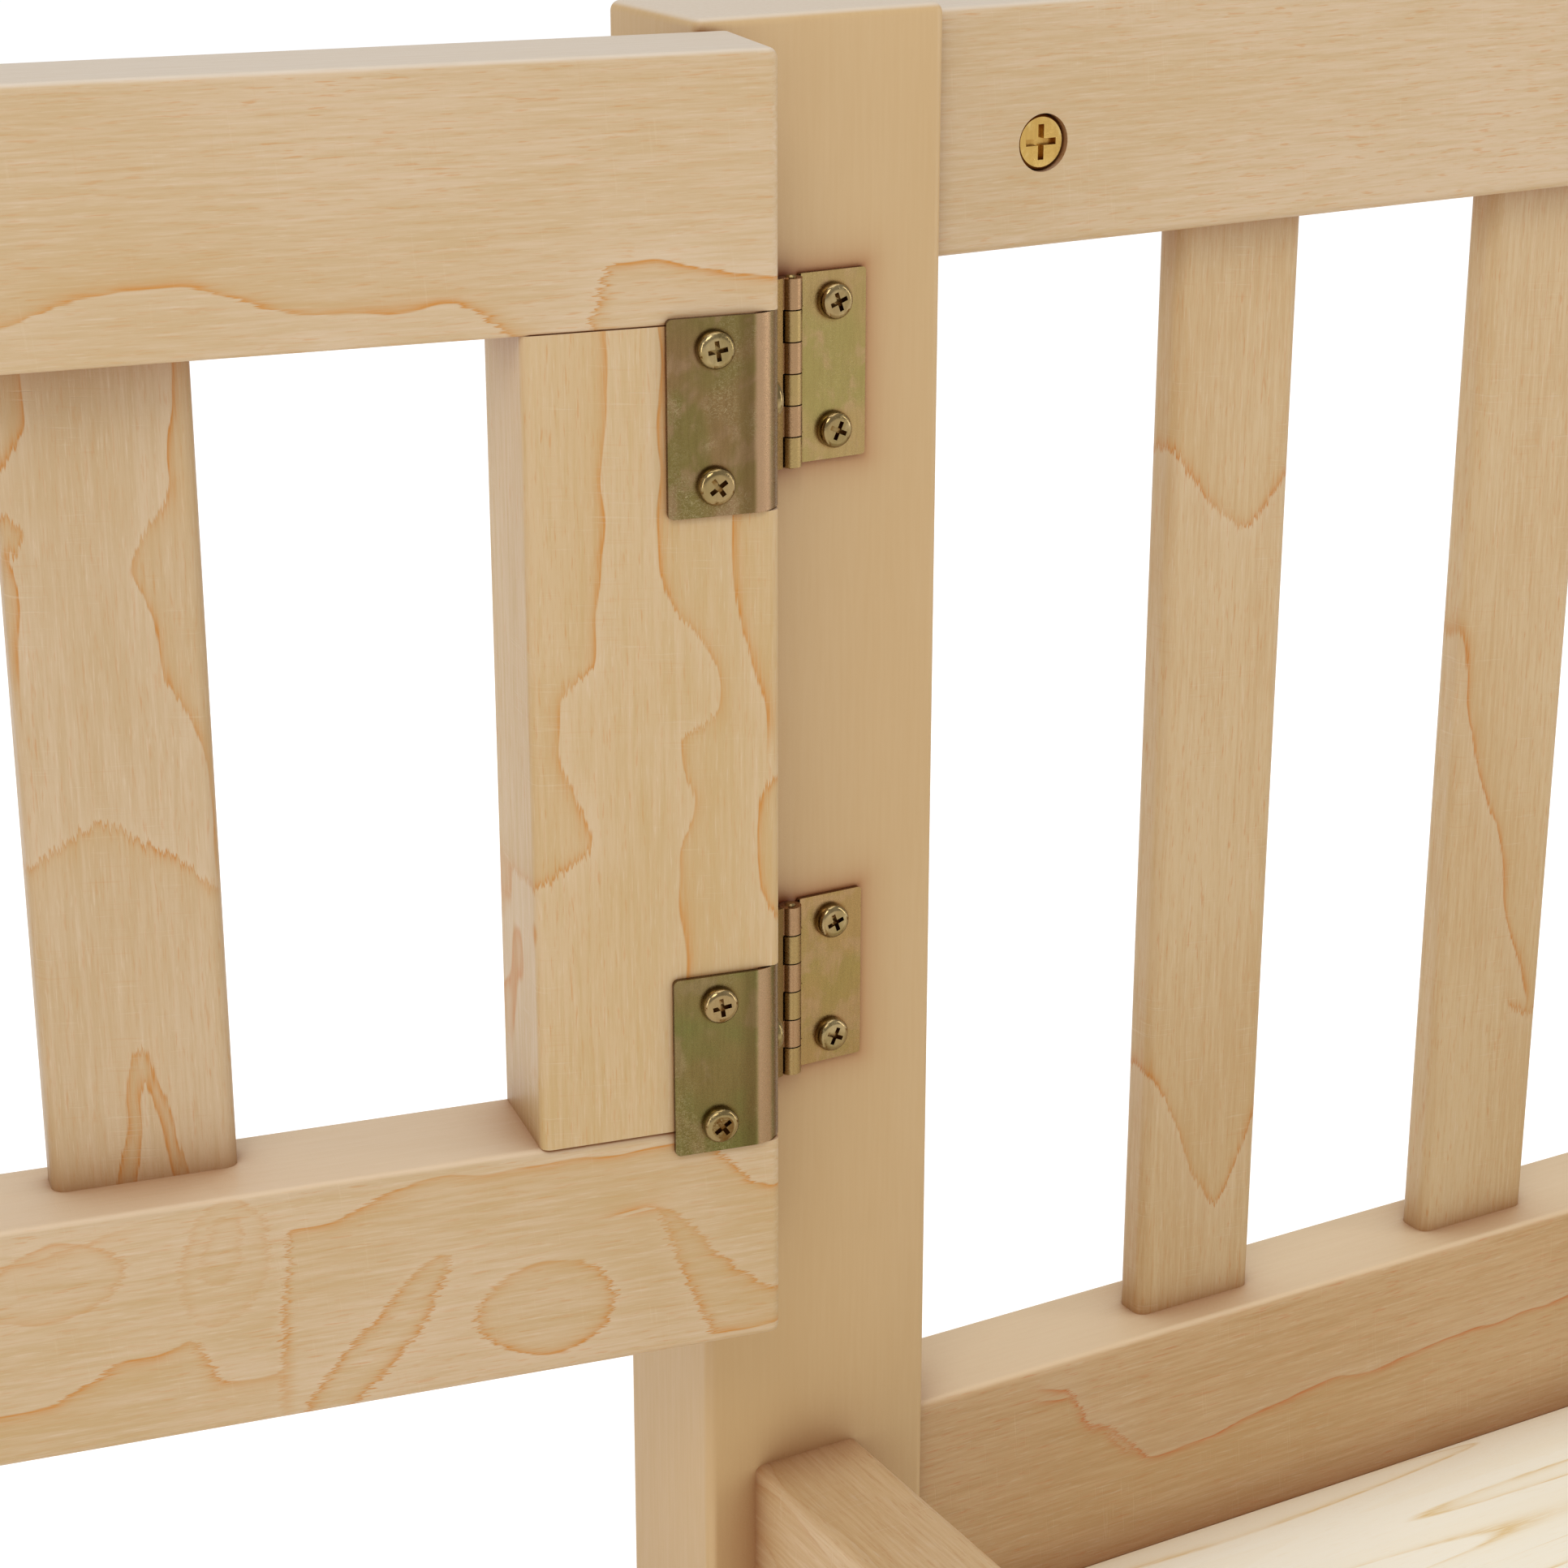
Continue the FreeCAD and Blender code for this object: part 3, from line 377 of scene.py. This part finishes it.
def wood_material(name, node, wood, axis, seed, turn=0.0, marks=(), wild=(-FAR, FAR), plates=()):
    """Timber with its grain along the board: fibres, flecks, growth lines, cross marks; painted
    sheen, plate shadow and corner shade.
    """
    tree = Tree("wood_" + name)
    low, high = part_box(node)
    centre = (low + high) / 2
    rest_place = tree.place()
    place = tree.turned_z(rest_place, centre, turn) if turn else rest_place
    place = tree.scaled(place, (1000, 1000, 1000), tuple(-c * 1000 for c in centre))
    parts = tree.split(place)
    g, a, t = (parts[i] for i in ORDER[axis])
    board = tree.vector(g, a, t)
    offset = (seed * 7.1, seed * 13.7, seed * 5.3)

    fibre = tree.noise(tree.scaled(board, (0.045, 0.95, 0.95), offset), 4.0, 0.65)
    cloud = tree.noise(tree.scaled(board, (0.007, 0.022, 0.022), offset), 2.0, 0.5)
    plain = 0.2 * (wood.fibre == 0)
    tone = tree.span(tree.add(tree.mul(fibre, 0.6 * min(wood.fibre + 0.3, 1.0)),
                              tree.mul(cloud, 0.4)),
                     0.36 - plain, 0.64 - plain)
    colour = tree.mix(tone, wood.deep, wood.pale)
    height = tree.mul(fibre, 0.6)
    if wood.fibre:
        colour, height = with_fibres(tree, colour, height, board, cloud, wood, offset)
    if wood.lines:
        crisp, deep, pale = growth_marks(tree, board, g, a, t, wood, seed, marks, wild, offset)
        colour = tree.mix(tree.mul(deep, WASH_SHARE * wood.lines), colour, wood.wash)
        colour = tree.mix(tree.mul(pale, PALE_SHARE * wood.lines), colour, wood.hair)
        colour = tree.mix(tree.mul(crisp, CORE_SHARE * wood.lines), colour, wood.line)
        height = tree.add(height, tree.mul(crisp, -0.5))
    if wood.nicks:
        colour, height = with_nicks(tree, colour, height, g, a, t, board, wood, offset)
    # Painted sheen: upward faces are lightened towards wood.top, a painted highlight standing in
    # for the light from above.
    if wood.painted_sheen:
        up = tree.split(tree.facing())[2]
        colour = tree.mix(tree.span(up, 0.5, 0.95, 0.0, wood.painted_sheen), colour, wood.top)
    # Painted shadow: the post's front face darkens and warms round each hinge plate.
    if plates:
        front = tree.span(tree.split(tree.facing())[1], -0.5, -0.9)
        near = tree.mul(plate_shadow(tree, rest_place, plates), front)
        plate_shadow_tint = tree.mix(1.0, colour, srgb(212, 166, 122), "MULTIPLY")
        colour = tree.mix(tree.mul(near, 0.9), colour, plate_shadow_tint)
    colour = with_corner_shade(tree, colour, wood)

    shader = tree.shader
    tree.put(shader.inputs["Base Color"], colour)
    tree.put(shader.inputs["Roughness"], tree.span(fibre, 0.3, 0.7, wood.rough + 0.06,
                                                   wood.rough - 0.05))
    shader.inputs["Specular IOR Level"].default_value = 0.42
    tree.put(shader.inputs["Normal"], tree.bump(height, 0.40 * max(wood.fibre, 0.3), 0.00022))
    return tree.material


# Growth lines of single boards, in millimetres from the board's centre:
#   run: height at the start, first and last place, (place, width, rise) of each shoulder,
#        deep side, strength
#   ring: centre along and across, reach along and across, tilt, deep side, strength
#   arch: place and height of the tip, slope of the legs, rounding of the tip, lowest and
#         highest place across the board, deep side
TOP_RAIL_MARKS = (
    ("run", -17.0, 40.0, 185.0, ((91, 22, 5.0), (131, 30, -8.5), (160, 16, 1.0), (176, 14, -7.0))),
    ("run", -27.5, 190.0, FAR, ((198.5, 7, 14.0), (224, 32, -4.5)), -1),
)
LOW_RAIL_MARKS = (
    ("ring", 182.5, -10.5, 15.5, 11.5),
    ("ring", 143.0, -16.0, 28.0, 5.0, 50.0),
    ("run", -14.5, 55.0, FAR, ((84, 18, 9.0), (103, 8, 1.0), (109, 6, -10.5), (126, 4, 33.5),
                               (147, 22, 5.5), (225, 18, -14.0)), -1),
    ("run", 9.2, 196.0, FAR, ((214, 17, -34.0),)),
    ("run", 8.0, 202.0, FAR, ((222, 30, -23.0),), -1),
    ("ring", 78.0, 13.0, 15.0, 8.5, 12.0, 1, 0.55),
    ("ring", 113.5, 12.0, 9.0, 15.0, -14.0, 1, 0.45),
    ("ring", 113.0, 15.0, 4.0, 8.0, -14.0, 1, 0.4),
    ("run", 22.0, -FAR, 96.0, ((30, 50, -3.0), (84, 20, 5.0)), -1, 0.5),
)
STILE_MARKS = (
    ("run", -27.4, -70.0, FAR, ((-25, 12, 14.0), (-9, 20, -7.0), (16, 8, 7.0), (36, 30, 3.0)), -1),
    ("run", 5.0, -FAR, FAR, ((-19, 12, 2.0), (-9, 8, -2.5), (3.5, 6, 9.0), (27, 26, -12.5))),
    ("run", 24.5, 0.0, FAR, ((22, 46, -9.0),)),
    ("ring", -26.0, 28.5, 17.0, 7.0),
)
LEAF_SLAT_MARKS = (
    ("run", -17.0, 22.0, FAR, ((44, 10, -2.0), (50, 6, 3.5), (56, 6, -3.5), (68, 16, 4.5)), -1),
    ("run", 18.5, -20.0, FAR, ((14, 40, -9.5), (37, 20, -3.0), (52, 20, 8.0), (72, 12, 1.0))),
    ("arch", -8.0, -5.0, -0.95, 6.0, -FAR, 18.5, -1),
    ("arch", -58.0, 1.0, -4.2, 1.2, -FAR, FAR, -1),
    ("arch", -66.0, 1.5, -6.0, 0.8),
)
PANEL_SLAT_MARKS = (
    (("arch", 66.0, 3.5, 1.3, 5.0), ("arch", -115.0, 4.6, 2.1, 1.5)),
    (("run", 13.5, -82.0, 30.0, ((-66, 32, -10.0), (-20, 60, -17.0), (20, 40, -5.0))),
     ("arch", -84.0, 14.5, 0.9, 2.0, 7.0, FAR)),
    (("arch", 20.0, -4.0, -1.8, 4.0), ("arch", -60.0, 6.0, 1.6, 3.0)),
    (("arch", 84.0, 2.0, 1.4, 5.0), ("run", -9.0, -100.0, 20.0, ((-60, 40, 6.0),))),
)
PANEL_LOW_MARKS = (
    ("run", 30.0, -196.0, FAR, ((-183, 10, -12.0), (-168, 16, -13.5), (-132, 40, 4.5),
                                (-60, 110, 5.0)), -1),
    ("run", 33.0, -196.0, -168.0, ((-184, 9, -14.0), (-172, 12, -12.0)), -1),
)


# ---- metal --------------------------------------------------------------------------

class Bend:
    """Where the wrap plates bend, in the closed pose, in metres."""

    reach = 24.5 * MM      # of the plate over the leaf's front
    inner = 6.5 * MM       # inner radius of the bend
    sheet = 1.2 * MM       # thickness of the plate

    def __init__(self):
        axis = Vector(joints["leaf_swing"]["pos_m"])
        turn = Matrix.Rotation(LEAF_TURN, 3, "Z")
        mesh = nodes["upper_hinge_wrap_leaf"].data
        closed = [turn @ (v.co - axis) + axis for v in mesh.vertices]
        self.axis = axis
        self.x = min(v.x for v in closed) + self.reach - self.inner
        self.y = min(v.y for v in closed) + self.sheet + self.inner


def with_bend(tree, here, colour, bend):
    """A dark line before the bend, a painted highlight strip on the bend and painted shade on the
    crank after it.
    """
    x, y, _ = tree.split(tree.turned_z(here, bend.axis, LEAF_TURN))
    over = tree.math("MAXIMUM", tree.add(x, -bend.x), 0.0)
    front = tree.math("MAXIMUM", tree.add(tree.mul(y, -1.0), bend.y), 0.0002)
    angle = tree.math("ARCTAN2", over, front)
    bend_highlight = tree.mul(tree.span(angle, 0.04, 0.18), tree.span(angle, 0.70, 0.50))
    before = tree.mul(tree.span(x, bend.x - 4.0 * MM, bend.x - 1.0 * MM),
                      tree.span(angle, 0.10, 0.0))
    colour = tree.mix(tree.mul(before, 0.45), colour, srgb(88, 66, 38))
    # Painted highlight on the bend.
    colour = tree.mix(tree.mul(bend_highlight, 0.85), colour, srgb(160, 129, 99))
    # Painted shade on the crank after the bend.
    return tree.mix(tree.span(angle, 0.60, 0.85), colour, srgb(116, 90, 52))


def with_barrel(tree, here, colour, axis, tone):
    """Another tone on the knuckles, which lie within 3 mm of the hinge axis."""
    x, y, _ = tree.split(here)
    dx = tree.add(x, -axis.x)
    dy = tree.add(y, -axis.y)
    away = tree.math("SQRT", tree.add(tree.mul(dx, dx), tree.mul(dy, dy)))
    return tree.mix(tree.span(away, 3.1 * MM, 2.6 * MM, 0.0, 0.85), colour, srgb(*tone))


def metal_material(name, tones, rough, offset=(0, 0, 0), scuffs=1.0, bend=None, barrel=None):
    """Yellow-passivated zinc: drifting tones, scuffs, a fine rolled grain and painted shade in
    recesses.
    """
    tree = Tree("metal_" + name)
    here = tree.place()
    place = tree.scaled(here, (1000, 1000, 1000), offset)
    drift = tree.noise(tree.scaled(place, (0.055, 0.055, 0.05)), 2.0, 0.5, warp=0.6)
    patch = tree.noise(tree.scaled(place, (0.16, 0.16, 0.12)), 3.0, 0.6, warp=0.4)
    rolled = tree.noise(tree.scaled(place, (1.3, 1.3, 0.12)), 3.0, 0.6)
    grit = tree.noise(tree.scaled(place, (2.6, 2.6, 2.6)), 3.0, 0.65)
    colour = tree.mix(tree.span(drift, 0.38, 0.62), srgb(*tones[0]), srgb(*tones[1]))
    colour = tree.mix(tree.span(patch, 0.50, 0.68, 0.0, 0.65), colour, srgb(*tones[2]))
    colour = tree.mix(tree.span(rolled, 0.35, 0.7, 0.0, 0.20), colour, srgb(*tones[3]))
    scuff_field = tree.noise(tree.scaled(place, (0.55, 0.55, 0.9)), 4.0, 0.7, warp=1.6)
    ridge = tree.math("ABSOLUTE", tree.add(scuff_field, -0.5))
    zone = tree.span(tree.noise(tree.scaled(place, (0.09, 0.09, 0.07), (7, 3, 1))), 0.45, 0.6)
    scuff = tree.mul(tree.span(ridge, 0.018, 0.0), zone)
    colour = tree.mix(tree.mul(scuff, 0.55 * scuffs), colour, srgb(196, 180, 138))
    if bend:
        colour = with_bend(tree, here, colour, bend)
    if barrel:
        colour = with_barrel(tree, here, colour, *barrel)
    # Painted shade: darker in recesses and tight corners, from ambient occlusion.
    edge = tree.span(tree.crevice(0.0015), 0.45, 0.8)
    colour = tree.mix(edge, tree.mix(1.0, colour, srgb(205, 178, 146), "MULTIPLY"), colour)
    shader = tree.shader
    tree.put(shader.inputs["Base Color"], colour)
    shader.inputs["Metallic"].default_value = 1.0
    wear = tree.add(tree.span(grit, 0.3, 0.7, rough - 0.05, rough + 0.07),
                    tree.mul(scuff, 0.15))
    tree.put(shader.inputs["Roughness"], wear)
    height = tree.add(tree.mul(rolled, 0.5), tree.add(tree.mul(grit, 0.5), tree.mul(scuff, 0.6)))
    tree.put(shader.inputs["Normal"], tree.bump(height, 0.18, 0.00008))
    return tree.material


# Four tones each: the two that drift, the patches and the rolled grain.
WRAP_TONES = ((123, 98, 64), (112, 98, 56), (140, 112, 84), (86, 68, 38))
LOW_WRAP_TONES = ((119, 103, 62), (108, 105, 58), (134, 114, 80), (84, 70, 38))
LOW_PLATE_TONES = ((150, 121, 76), (142, 120, 70), (160, 128, 92), (116, 92, 54))
PLATE_TONES = ((158, 132, 86), (146, 130, 78), (168, 136, 100), (122, 100, 60))
SCREW_TONES = ((148, 125, 86), (136, 117, 76), (168, 148, 108), (110, 90, 56))
NUT_TONES = ((204, 171, 104), (190, 154, 86), (220, 196, 134), (152, 113, 56))
BOLT_TONES = ((176, 168, 150), (160, 152, 134), (196, 190, 176), (120, 112, 96))
PINK_BARREL = (160, 127, 94)
OLIVE_BARREL = (154, 129, 84)


# ---- which node gets what -----------------------------------------------------------

def dress(node, material):
    data = nodes[node].data
    data.materials.clear()
    data.materials.append(material)


def dress_wood(node, wood, axis, seed, turn=0.0, **more):
    dress(node, wood_material(node, node, wood, axis, seed, turn, **more))


def dress_frame():
    plates = [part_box(level + "_hinge_post_leaf") for level in ("upper", "lower")]
    dress_wood("latch_post", POST, "z", 3)
    dress_wood("hinge_post", POST, "z", 4, plates=plates)
    dress_wood("end_post", POST, "z", 5)
    for k, name in enumerate(("latch_beam", "hinge_beam", "end_beam")):
        dress_wood(name, BEAM, "y", 11 + k)
    dress_wood("panel_top_rail", BIRCH, "x", 21, wild=(60.0, FAR))
    dress_wood("panel_bottom_rail", LOW_RAIL, "x", 22, marks=PANEL_LOW_MARKS, wild=(60.0, FAR))
    dress_wood("threshold_rail", BIRCH, "x", 23)
    dress_wood("deck_board", DECK, "x", 24)
    dress_wood("deck_ledger_left", BEAM, "y", 25)
    dress_wood("deck_ledger_right", BEAM, "y", 26)
    dress_wood("keeper_block", BIRCH, "z", 27)
    dress_wood("frame_dowels", SLAT, "x", 28)
    for k, marks in enumerate(PANEL_SLAT_MARKS):
        dress_wood("panel_slat_%d" % (k + 1), PANEL_SLAT, "z", 31 + k, marks=marks, wild=None)


def dress_leaf():
    dress_wood("leaf_top_rail", BIRCH, "x", 41, LEAF_TURN, marks=TOP_RAIL_MARKS,
               wild=(-FAR, 20.0))
    dress_wood("leaf_bottom_rail", LEAF_LOW, "x", 42, LEAF_TURN, marks=LOW_RAIL_MARKS,
               wild=(-FAR, 30.0))
    dress_wood("leaf_hinge_stile", STILE, "z", 43, LEAF_TURN, marks=STILE_MARKS, wild=None)
    dress_wood("leaf_latch_stile", STILE, "z", 44, LEAF_TURN)
    dress_wood("leaf_slat_1", SLAT, "z", 51, LEAF_TURN, marks=LEAF_SLAT_MARKS, wild=None)
    dress_wood("leaf_slat_2", SLAT, "z", 52, LEAF_TURN)
    dress_wood("leaf_slat_3", SLAT, "z", 53, LEAF_TURN)
    dress_wood("leaf_dowels", SLAT, "z", 55, LEAF_TURN)


def dress_metal():
    bend = Bend()
    pink = (bend.axis, PINK_BARREL)
    olive = (bend.axis, OLIVE_BARREL)
    wraps = (metal_material("wrap_upper", WRAP_TONES, 0.28, bend=bend, barrel=pink),
             metal_material("wrap_lower", LOW_WRAP_TONES, 0.28, bend=bend, barrel=pink))
    plates = (metal_material("plate_upper", PLATE_TONES, 0.28, (40, 9, 5), 0.4, barrel=olive),
              metal_material("plate_lower", LOW_PLATE_TONES, 0.28, (22, 5, 9), 0.4, barrel=olive))
    flat = metal_material("latch", PLATE_TONES, 0.28, (12, 19, 5), 0.4)
    head = metal_material("screws", SCREW_TONES, 0.10, (3, 8, 1), 0.3)
    nut = metal_material("nut", NUT_TONES, 0.20, (1, 2, 3), 0.3)
    key_bolt = metal_material("bolts", BOLT_TONES, 0.28, (5, 2, 3), 0.3)
    for level, wrap, plate in zip(("upper", "lower"), wraps, plates):
        dress(level + "_hinge_wrap_leaf", wrap)
        dress(level + "_hinge_post_leaf", plate)
        dress(level + "_hinge_pin", head)
    for name in nodes:
        if name.endswith("screws"):
            dress(name, head)
    dress("barrel_nuts", nut)
    dress("connector_bolts", key_bolt)
    for name in ("latch_base", "latch_keeper"):
        dress(name, flat)
    for name in ("latch_bolt", "latch_knob"):
        dress(name, head)


dress_frame()
dress_leaf()
dress_metal()


# ---- stage, light and camera --------------------------------------------------------

def build_floor():
    """A pale matt floor that glows a little, so that it stays white to the horizon."""
    mesh = bpy.data.meshes.new("floor")
    half = 30.0
    mesh.from_pydata([(-half, -half, 0), (half, -half, 0), (half, half, 0), (-half, half, 0)],
                     [], [(0, 1, 2, 3)])
    floor = bpy.data.objects.new("floor", mesh)
    bpy.context.scene.collection.objects.link(floor)
    tree = Tree("floor")
    tree.shader.inputs["Base Color"].default_value = (0.72, 0.72, 0.72, 1)
    tree.shader.inputs["Roughness"].default_value = 0.9
    tree.shader.inputs["Emission Color"].default_value = (1, 1, 1, 1)
    tree.shader.inputs["Emission Strength"].default_value = 0.58
    mesh.materials.append(tree.material)


def area_light(name, place, target, wide, tall, power):
    light = bpy.data.lights.new(name, "AREA")
    light.shape = "RECTANGLE"
    light.size = wide
    light.size_y = tall
    light.energy = power
    lamp = bpy.data.objects.new(name, light)
    lamp.location = place
    lamp.rotation_mode = "QUATERNION"
    lamp.rotation_quaternion = (Vector(target) - Vector(place)).to_track_quat("-Z", "Y")
    bpy.context.scene.collection.objects.link(lamp)


def build_light():
    """An even pale room, a soft key from the left, a soft top light and two side strips."""
    world = bpy.data.worlds.new("studio")
    bpy.context.scene.world = world
    world.use_nodes = True
    tree = world.node_tree
    background = tree.nodes["Background"]
    background.inputs["Color"].default_value = (1, 1, 1, 1)
    toward = tree.nodes.new("ShaderNodeTexCoord")
    split = tree.nodes.new("ShaderNodeSeparateXYZ")
    fade = tree.nodes.new("ShaderNodeMapRange")        # white at the horizon, dimmer above
    fade.interpolation_type = "SMOOTHSTEP"
    for socket, value in zip(fade.inputs[1:5], (0.04, 0.12, 1.0, 0.54)):
        socket.default_value = value
    tree.links.new(toward.outputs["Generated"], split.inputs[0])
    tree.links.new(split.outputs["Z"], fade.inputs["Value"])
    tree.links.new(fade.outputs[0], background.inputs["Strength"])
    area_light("key", (-1.3, -1.6, 2.4), (0, 0, 0.3), 1.2, 1.2, 21.8)
    area_light("top", (0.2, 0.1, 2.6), (0.1, 0, 0.2), 2.0, 2.0, 21)
    area_light("strip_left", (-1.9, -0.75, 0.75), (0, 0, 0.3), 0.35, 1.5, 6.2)
    area_light("strip_right", (1.7, -1.0, 0.75), (0, 0, 0.3), 0.35, 1.5, 6.2)


CAMERA_FROM_POST = Vector((-333.43, -616.89, 85.9)) * MM
CAMERA_DOWN = 19.662         # degrees below the horizon
CAMERA_TURN = -29.844        # degrees from looking straight across the fence
CAMERA_LENS = 78.03          # on a 36 mm sensor


def build_camera():
    """The camera stands inside the fence, left of the hinge post, and looks down at it."""
    post_low, post_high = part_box("hinge_post")
    corner = Vector((post_low.x, post_low.y, post_high.z))
    camera = bpy.data.cameras.new("camera")
    camera.sensor_width = 36.0
    camera.lens = CAMERA_LENS
    holder = bpy.data.objects.new("camera", camera)
    holder.location = corner + CAMERA_FROM_POST
    holder.rotation_euler = (math.radians(90 - CAMERA_DOWN), 0, math.radians(CAMERA_TURN))
    camera.clip_start = 0.01
    bpy.context.scene.collection.objects.link(holder)
    bpy.context.scene.camera = holder


build_floor()
build_light()
build_camera()
bpy.context.scene.view_settings.view_transform = "Standard"

bpy.context.view_layer.update()
